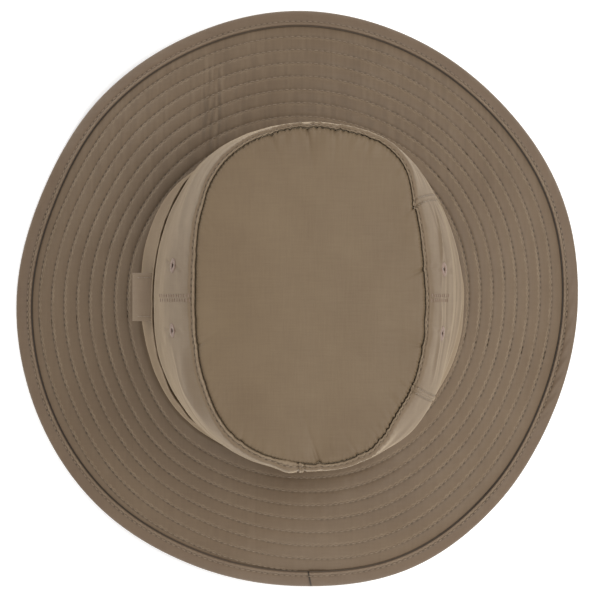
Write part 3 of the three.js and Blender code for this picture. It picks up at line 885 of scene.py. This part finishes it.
# Folds of the wall: each runs from one angle and height to another, and has a half-width
# up the wall and a depth outwards.
WALL_FOLDS = (
    (-34, 120, 4, 124, 2.6, 0.9),
    (4, 123, 38, 114, 1.5, 1.1),
    (-34, 113, 30, 115, 2.0, -0.5),
    (-32, 103, 30, 104, 3.5, 0.4),
    (-30, 93, 27, 94, 2.3, -0.4),
    (-34, 82, 34, 82, 4.5, 0.4),
    (24, 118, 39, 122, 1.4, 0.5),
    (26, 106, 38, 114, 1.4, 0.4),
    (40, 125, 58, 122, 1.3, 0.35),
    (40, 120, 55, 117, 1.3, -0.3),
    (40, 116, 56, 112, 1.3, 0.35),
    (40, 110, 54, 107, 1.3, 0.3),
    (41, 103, 60, 104, 1.5, -0.3),
    (108, 98, 158, 116, 6.0, 0.5),
    (198, 108, 232, 126, 3.0, 0.5),
    (212, 112, 244, 104, 3.5, -0.5),
    (276, 116, 318, 118, 4.0, 0.5),
    (278, 104, 320, 106, 5.0, -0.4),
)


def tip_edge_z(angle):
    a = math.radians(angle)
    return TIP["height"] - TIP["saddle"] * math.cos(2 * a) + TIP["tilt"] * math.cos(a)


def seam_radius(angle):
    """Radius of the seam round the tip, which wavers a little."""
    waver = 0.4 * ring_noise(angle, 11, 0, 6) + 0.22 * ring_noise(angle, 3.8, 0, 7)
    gathered = bell(turned(angle, 88), 40) + bell(turned(angle, 305), 30)
    waver += 0.3 * gathered * math.cos(math.radians(angle) * 165)
    for middle, _, depth in TUCKS:
        waver -= 0.4 * depth * bell(math.radians(turned(angle, middle)) * 90, 1.8)
    past_seam = turned(angle, SEAMS["front_right"]["top"] - 0.6)
    if 0 <= past_seam < 20:
        waver -= 1.5 * math.exp(-past_seam / 3.5)
    return crown_at(angle).tip + waver


wall_shares = [step / WALL_LENGTH for step in FOOT_STEPS]
low, high = wall_shares[-1], 1 - TOP_STEPS[0] / WALL_LENGTH
wall_shares += [lerp(low, high, i / MIDDLE_STEPS) for i in range(1, MIDDLE_STEPS)]
wall_shares += [1 - step / WALL_LENGTH for step in TOP_STEPS]
PROFILE_STEP = 0.5


@functools.lru_cache(maxsize=None)
def wall_profile(step):
    """The wall's outer and inner faces at one angle, as rows of radius and height."""
    angle = step * PROFILE_STEP
    c = crown_at(angle)
    foot = band_top(angle) + GAP
    seam_z = tip_edge_z(angle)
    tip = seam_radius(angle)
    ledge = 4.2 - 2.1 * bell(turned(angle, 86), 44) - 0.9 * bell(turned(angle, 284), 40)
    upper = 0.62 - 0.3 * bell(turned(angle, 224), 28)  # fuller at the left rear
    start, end = (c.fold - 2.4, foot + 0.2), (tip + 0.15, seam_z - 1.9)
    belly, shoulder = (c.belly, seam_top(angle) + 66.0), (tip + ledge, seam_z - 2.4)
    outer = (
        start,
        (c.fold - 1.0, foot - 0.3),
        (c.fold, foot + 3.2),
        (lerp(c.fold, c.belly, 0.5) + 0.4, foot + 18.0),
        belly,
        (lerp(c.belly, c.tip + ledge, upper), lerp(belly[1], seam_z - 2.6, 0.66)),
        shoulder,
        (tip + 0.36 * ledge, seam_z - 0.35),
        (tip + 0.35, seam_z - 0.7),
        end,
    )
    plain = (start, (c.fold - 0.6, foot + 4.0), belly, shoulder, end)
    inner = offset_curve(smooth_curve(plain, wall_shares), CROWN_CLOTH)
    inner[-1] = (tip - 1.4, seam_z - 3.3)  # the seam allowance, under the tip's edge
    inner[0] = (start[0] - CROWN_CLOTH, start[1])
    return smooth_curve(outer, wall_shares), inner


def top_row_inset(angle):
    inset = TOP_ROW["inset"] - TOP_ROW["less"] * math.cos(math.radians(angle))
    return inset - 0.9 * bell(turned(angle, 86), 40)


def seam_angle(seam, share):
    return seam["top"] + seam["lean"] * (1 - share)


def wall_relief(angle, radius, z, share):
    """How far folds, puckers and sewn rows move the wall's outer face outwards."""
    inset = (1 - share) * WALL_LENGTH
    lift = 0.35 * ring_noise(angle, 26, z / 16, 8) + 0.14 * ring_noise(angle, 8, z / 6, 11)
    for start, low, end, high, half_width, depth in WALL_FOLDS:
        along = turned(angle, start) / (end - start)
        if -0.1 < along < 1.1:
            fade = min(max(4 * along * (1 - along), 0.0), 1.0)
            lift += depth * fade * bell(z - lerp(low, high, along), half_width)
    for middle, height in EYELETS.values():
        aside = math.radians(turned(angle, middle)) * radius
        if abs(aside) < 14:
            above = abs(z - height)
            lift *= 1 - bell(math.hypot(aside, above), 7)
            pull = between(above, 4.0, 13.0, 5.0)
            lift -= 0.6 * pull * bell(aside - 0.12 * (z - height), 1.6)
            lift += 0.35 * pull * bell(aside - 2.6 + 0.1 * (z - height), 1.8)
    row = inset - top_row_inset(angle)
    lift -= TOP_ROW["depth"] * math.exp(-((row / TOP_ROW["width"]) ** 2))
    lift += TOP_ROW["puff"] * between(inset, 0.6, top_row_inset(angle) - 0.4, 0.8)
    gathers = ring_noise(angle, 2.6, inset / 7, 9) + 0.5 * ring_noise(angle, 7, inset / 9, 13)
    gathered = 0.3 + 0.4 * bell(turned(angle, 78), 48) + 0.4 * bell(turned(angle, 312), 45)
    lift += gathered * gathers * math.exp(-(((inset - 3.2) / 3.6) ** 2))
    lift += 1.5 * bell(turned(angle, 266.5), 4.5)  # spare cloth at the centre-back seam
    for seam in SEAMS.values():
        aside = math.radians(turned(angle, seam_angle(seam, share))) * radius
        if abs(aside) < 8:
            lift += FELLED["rise"] * between(aside, seam["low"], seam["high"], 0.7)
            for edge in (seam["low"], seam["high"]):
                lift -= FELLED["groove"] * bell(aside - edge, FELLED["width"])
    return lift


def wall_face(angle, j, outer=True):
    """A point of the wall at an angle, on row j of its profile."""
    step = angle / PROFILE_STEP
    below = math.floor(step)
    profiles = [wall_profile(below + k)[0 if outer else 1] for k in (0, 1)]
    radius, z = (lerp(profiles[0][j][k], profiles[1][j][k], step - below) for k in (0, 1))
    if outer and 0 < j < len(wall_shares) - 1:
        (r0, z0), (r1, z1) = profiles[0][j - 1], profiles[0][j + 1]
        run = math.hypot(r1 - r0, z1 - z0)
        share = wall_shares[j]
        fade = min((1 - share) * WALL_LENGTH / 1.2, 1.0) * min(share * WALL_LENGTH / 4, 1.0)
        lift = wall_relief(angle, radius, z, share) * fade
        radius += lift * (z1 - z0) / run
        z += lift * (r0 - r1) / run
    return from_axis(angle, radius, z)


def wall_spot(angle, share):
    """A point of the wall's outer face at a share of the way up, and the way out of it."""
    j = min(bisect.bisect(wall_shares, share), len(wall_shares) - 1)
    t = (share - wall_shares[j - 1]) / (wall_shares[j] - wall_shares[j - 1])
    low, high = wall_face(angle, j - 1), wall_face(angle, j)
    round_it = wall_face(angle + 0.5, j) - wall_face(angle - 0.5, j)
    return low.lerp(high, t), round_it.cross(high - low).normalized()


top_walk = [0.0]
for degree in range(360):
    a, b = (from_axis(d, seam_radius(d) + TOP_ROW["inset"], 0) for d in (degree, degree + 1))
    top_walk.append(top_walk[-1] + (b - a).length)


def walked_share(angle):
    """Share of the way round the tip's seam at an angle."""
    laps, rest = divmod(angle, 360)
    whole = math.floor(rest)
    return laps + lerp(top_walk[whole], top_walk[whole + 1], rest - whole) / top_walk[-1]


def walked_angle(share):
    """The angle at a share, from 0 to 1, of the way round the tip's seam."""
    goal = share * top_walk[-1]
    whole = min(bisect.bisect(top_walk, goal) - 1, 359)
    return whole + (goal - top_walk[whole]) / (top_walk[whole + 1] - top_walk[whole])


# The top-stitched row gets painted shade in its furrow and holes and a painted highlight beside
# it.
wall_nylon = woven_nylon(
    "khaki crown nylon, top-stitched",
    # the last two colours are the painted shade and the painted highlight
    ("#645340", "#6c5b46", "#2e251b", "#8d7c66"),
    marks={"first": TOP_STITCHES},
)
wall_pieces = {}
for name, node, start, end, turn in PANELS:
    first, last = SEAMS[start], SEAMS[end]
    span = last["top"] - first["top"] - turn
    near = [math.degrees(step / SEAM_REACH) for step in SEAM_COLUMNS]
    middle = round((span - 2 * near[-1]) / WALL_COLUMN)
    columns = near + [lerp(near[-1], span - near[-1], k / middle) for k in range(1, middle)]
    columns += [span - step for step in reversed(near)]
    rows = len(wall_shares)

    def panel_angle(i, j):
        low, high = seam_angle(first, wall_shares[j]) + turn, seam_angle(last, wall_shares[j])
        gap = math.degrees(SEAM_GAP / SEAM_REACH) * ((i == 0) - (i == len(columns) - 1))
        return lerp(low, high, columns[i] / span) + gap

    def panel_row(j):
        """The row of the profile, and whether it is on the outer face."""
        around = j % (2 * rows)
        return (around, True) if around < rows else (2 * rows - 1 - around, False)

    def panel_chart(i, j):
        k, _ = panel_row(j)
        angle = panel_angle(i, k)
        inset = (1 - wall_shares[k]) * WALL_LENGTH
        return walked_share(angle), (inset - top_row_inset(angle)) / CHANNEL

    def panel_place(i, j):
        k, outer = panel_row(j)
        return wall_face(panel_angle(i, k), k, outer)

    panel = new_cloth(name, len(columns) - 1, 2 * rows, panel_place, wall_nylon, panel_chart)
    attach(panel, "root")
    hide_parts(node)
    wall_pieces[node] = panel

# ---- Crown tip ----
# One oval panel of crown nylon. Its edge is sewn to the walls and turned down, so it
# meets them in a narrow sunk seam with small gathers.
TIP_STEPS_ROUND = 960
TIP_SCALLOPS = 240
TIP_INSETS = (0.0, 0.12, 0.3, 0.55, 0.9, 1.4, 2.0, 2.8, 3.8, 5.0, 6.5, 8.2, 10.0)
TIP_RINGS = 30
TIP_UNDER = ((0.0, 3.75), (2.0, 2.9), (5.0, 2.1))  # inset, and drop from the upper face
# Broad shallow dents, from the crown's axis: x, y, radius, depth.
TIP_DENTS = (
    (-42, -12, 16, 1.2),
    (-36, -54, 18, 1.4),
    (52, 38, 14, 0.9),
    (56, -22, 14, 0.8),
    (4, 84, 9, 1.0),
    (11, -80, 9, 1.2),
)


def tip_face(angle, inset, share, drop=0.0):
    """A point of the tip at a distance in from its seam, or a share of the way inwards."""
    gathered = 0.25 + 0.5 * bell(turned(angle, 88), 45) + 0.35 * bell(turned(angle, 305), 38)
    scallop = math.radians(angle) * TIP_SCALLOPS + 3 * ring_noise(angle, 9, 0, 16)
    tucks = 0.5 + 0.5 * math.cos(scallop)
    gap = 0.46 + 0.15 * ring_noise(angle, 7, 0, 18)
    edge = seam_radius(angle) - gap - 0.5 * gathered * tucks
    radius = (edge - inset) * share
    x, y = offsets(angle, radius)
    out = radius / edge
    z = lerp(TIP["height"] + TIP["dome"], tip_edge_z(angle), out**2) + 0.75
    z -= 2.6 * math.exp(-(edge - radius) / (0.6 + 0.5 * gathered * tucks)) * (drop == 0)
    for dent_x, dent_y, size, depth in TIP_DENTS:
        z -= depth * bell(math.hypot(x - dent_x, y - dent_y), size)
    from_edge = edge - radius
    for middle, length, depth in TUCKS:
        aside = math.radians(turned(angle, middle)) * radius
        z -= depth * math.exp(-from_edge / length) * bell(aside + 0.2 * from_edge, 1.5)
    gathers = ring_noise(angle, 4.2, from_edge / 9, 10)
    z += gathered * gathers * math.exp(-(((from_edge - 2.5) / 4.5) ** 2))
    z += 0.4 * noise.noise(Vector((x / 26, y / 26, 61)))
    z += 0.12 * noise.noise(Vector((x / 9, y / 9, 64)))
    return from_axis(angle, radius, z - drop)


tip_rows = [(inset, 1.0) for inset in TIP_INSETS]
tip_rows += [(TIP_INSETS[-1], 1 - i / TIP_RINGS) for i in range(1, TIP_RINGS + 1)]
tip_loop = [(*row, 0.0) for row in tip_rows[::-1]]
# The under face hangs deepest at the rim, where the walls' seam allowance lies below it.
tip_loop += [(inset, 1.0, drop) for inset, drop in TIP_UNDER]
tip_loop += [(TIP_INSETS[-1], 1 - i / 8, TIP_UNDER[-1][1]) for i in range(9)]
tip = new_cloth(
    "tip_cloth",
    TIP_STEPS_ROUND,
    len(tip_loop) - 1,
    lambda i, j: tip_face(360.0 * i / TIP_STEPS_ROUND, *tip_loop[j]),
    woven_nylon("khaki crown nylon, top panel", ("#604f3b", "#685741")),
    lambda i, j: (0.6 * i * MM, j * MM),
)
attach(tip, "root")
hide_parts("crown_tip")

# ---- Label ----
# A doubled tab of woven label fabric. It is folded at its outer edge, sewn in under the
# left wall's foot, and held by two short rows of stitches. Its face is bare.
LABEL = {"low": -11.7, "high": 15.7, "root": 82.1, "reach": 94.6, "drop": 8.5, "thick": 1.7}
LABEL_STEPS = 34
LABEL_ROWS = 16
LABEL_FOLD = [0.955, 0.98, 0.995, 1.0]  # shares of the rows that turn round its fold
LABEL_STITCHED = (-9.0, 13.0)


def label_face(y, share, side):
    """A point of the label's upper (side 1) or lower (side -1) layer: share 0 at the
    root, 1 at the fold."""
    root_z = band_top(180) - 2.0
    bend = lerp(LABEL["root"], LABEL["reach"], 0.55)
    r = lerp(lerp(LABEL["root"], bend, share), lerp(bend, LABEL["reach"], share), share)
    z = root_z - 1.2 * share * (1 - share) - LABEL["drop"] * share**2
    edge = min(y - LABEL["low"], LABEL["high"] - y)
    puff = 0.62 + 0.38 * min(edge / 2.0, 1.0) ** 0.5
    for row in LABEL_STITCHED:
        puff -= 0.25 * bell(y - row, 0.9) * (share < 0.85)
    puff *= min((1.0 - share) / 0.08, 1.0) ** 0.5
    z += 0.25 * noise.noise(Vector((y / 7, share * 2, 71)))
    z += (side * puff - 1) * LABEL["thick"] / 2
    return Vector((CROWN_AXIS[0] - r, CROWN_AXIS[1] + y, z)) * MM


label_shares = [i / LABEL_ROWS for i in range(LABEL_ROWS - 1)] + LABEL_FOLD
label_loop = [(share, 1) for share in label_shares]
label_loop += [(share, -1) for share in label_shares[-2::-1]] + label_loop[:1]
label = new_cloth(
    "label_cloth",
    LABEL_STEPS,
    len(label_loop) - 1,
    lambda i, j: label_face(lerp(LABEL["low"], LABEL["high"], i / LABEL_STEPS), *label_loop[j]),
    woven_nylon("woven label fabric", ("#705e4c", "#776651"), sheen=0.2, relief=1.3),
)
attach(label, "root")
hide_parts("label_tab")

# ---- Eyelets ----
# Four air holes cut through the wall and oversewn with satin stitch, so each has a
# raised ring of close radial threads.
EYELET = {"middle": 2.35, "half_width": 1.4, "rise": 0.6, "hole": 1.7, "oval": 1.1, "punch": 9}
EYELET_THREADS = 26
EYELET_STEPS = (4 * EYELET_THREADS, 10)  # round the hole, and round the rope of thread

satin = new_thread("satin-stitched thread", 1500.0, 2.0, "#6b5447", "#826c5d")


def eyelet_face(middle, across, up, out, i, j):
    """A point of the ring's rope of thread: i goes round the hole, j round the rope."""
    around, turn = 2 * math.pi * i / EYELET_STEPS[0], 2 * math.pi * j / EYELET_STEPS[1]
    ridge = 0.9 + 0.1 * math.cos(EYELET_THREADS * around)
    radial = EYELET["middle"] + EYELET["half_width"] * ridge * math.cos(turn)
    rise = EYELET["rise"] * ridge * math.sin(turn)
    direction = EYELET["oval"] * math.cos(around) * across + math.sin(around) * up
    return middle + (radial * direction + rise * out) * MM


for node, (angle, height) in EYELETS.items():
    share = min(wall_shares, key=lambda s: abs(wall_spot(angle, max(s, 0.05))[0].z - height * MM))
    middle, out = wall_spot(angle, share)
    across = Vector((0, 0, 1)).cross(out).normalized()
    up = out.cross(across)
    place = functools.partial(eyelet_face, middle, across, up, out)
    ring = new_cloth(node + "_thread", *EYELET_STEPS, place, satin)
    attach(ring, "root")
    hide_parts(node)

    bm = bmesh.new()
    hole = EYELET["hole"] * MM
    bmesh.ops.create_cone(
        bm, cap_ends=True, segments=28, radius1=hole, radius2=hole, depth=EYELET["punch"] * MM
    )
    turn = Matrix((across, up, out)).transposed().to_4x4()
    bmesh.ops.transform(bm, matrix=Matrix.Translation(middle) @ turn, verts=bm.verts)
    punch = new_object("punch", bm)
    panel = wall_pieces["side_wall_left" if "left" in node else "side_wall_right"]
    cut = panel.modifiers.new("air hole", "BOOLEAN")
    cut.operation = "DIFFERENCE"
    cut.solver = "EXACT"
    cut.object = punch
    with bpy.context.temp_override(object=panel, active_object=panel, selected_objects=[panel]):
        bpy.ops.object.modifier_apply(modifier=cut.name)
    bpy.data.objects.remove(punch)

# ---- Crown stitching ----
# A row holds down the wall's edge all round the tip, and two rows hold each upright
# seam. Short tacks stand in two columns between the eyelets on both sides.
SEAM_PITCH = 2.9
TACKS = {"length": 2.1, "width": 0.5, "height": 0.45}
TACK_COLUMNS = ((2.7, 0.0), (0.1, 0.4))  # y from the crown's axis, and a shift in tacks
# Angle of the side: shares of the way up the wall, and how many tacks.
TACK_REACH = {180.0: (0.32, 0.955, 13), 0.0: (0.6, 0.955, 9)}


def sewn_between(start, end):
    """A stitch between two places on the wall, each an angle and a share of the way up."""
    (a, out_a), (b, out_b) = wall_spot(*start), wall_spot(*end)
    out = (out_a + out_b).normalized()
    return a.lerp(b, 0.5) + STITCH["rise"] * MM * out, b - a, out


stitches = []
for i in range(TOP_STITCHES):
    ends = []
    for step in (0.2, 0.8):
        angle = walked_angle((i + step) / TOP_STITCHES)
        ends.append((angle, 1 - top_row_inset(angle) / WALL_LENGTH))
    stitches.append(sewn_between(*ends))
for seam in SEAMS.values():
    for edge in (seam["low"], seam["high"]):
        for i in range(int((WALL_LENGTH - 12) / SEAM_PITCH)):
            shares = [1 - (5.2 + (i + step) * SEAM_PITCH) / WALL_LENGTH for step in (0.12, 0.88)]
            stitches.append(
                sewn_between(*((seam_angle(seam, s) + math.degrees(edge / 86), s) for s in shares))
            )
for y in LABEL_STITCHED:
    for i in range(5):
        a, b = (label_face(y, (i + step) / 7, 1) for step in (0.15, 0.85))
        stitches.append((a.lerp(b, 0.5) + Vector((0, 0, 0.1 * MM)), b - a, Vector((0, 0, 1))))
stitched("crown_thread", stitches, thread)

stitches = []
for side, (low, high, count) in TACK_REACH.items():
    shares = [lerp(low, high, k / 200) for k in range(201)]
    reached = [(wall_spot(side, s)[0] - from_axis(0, 0, 0)).xy.length / MM for s in shares]
    for y, shift in TACK_COLUMNS:
        for i in range(count):
            goal = lerp(reached[0], reached[-1], (i + shift) / count)
            share, radius = min(zip(shares, reached), key=lambda pair: abs(pair[1] - goal))
            facing = 1 if side == 0 else -1
            half = TACKS["length"] / 2
            ends = [side + facing * math.degrees((y + e) / radius) for e in (-half, half)]
            stitches.append(sewn_between(*((angle, share) for angle in ends)))
stitched("tack_thread", stitches, satin, TACKS)
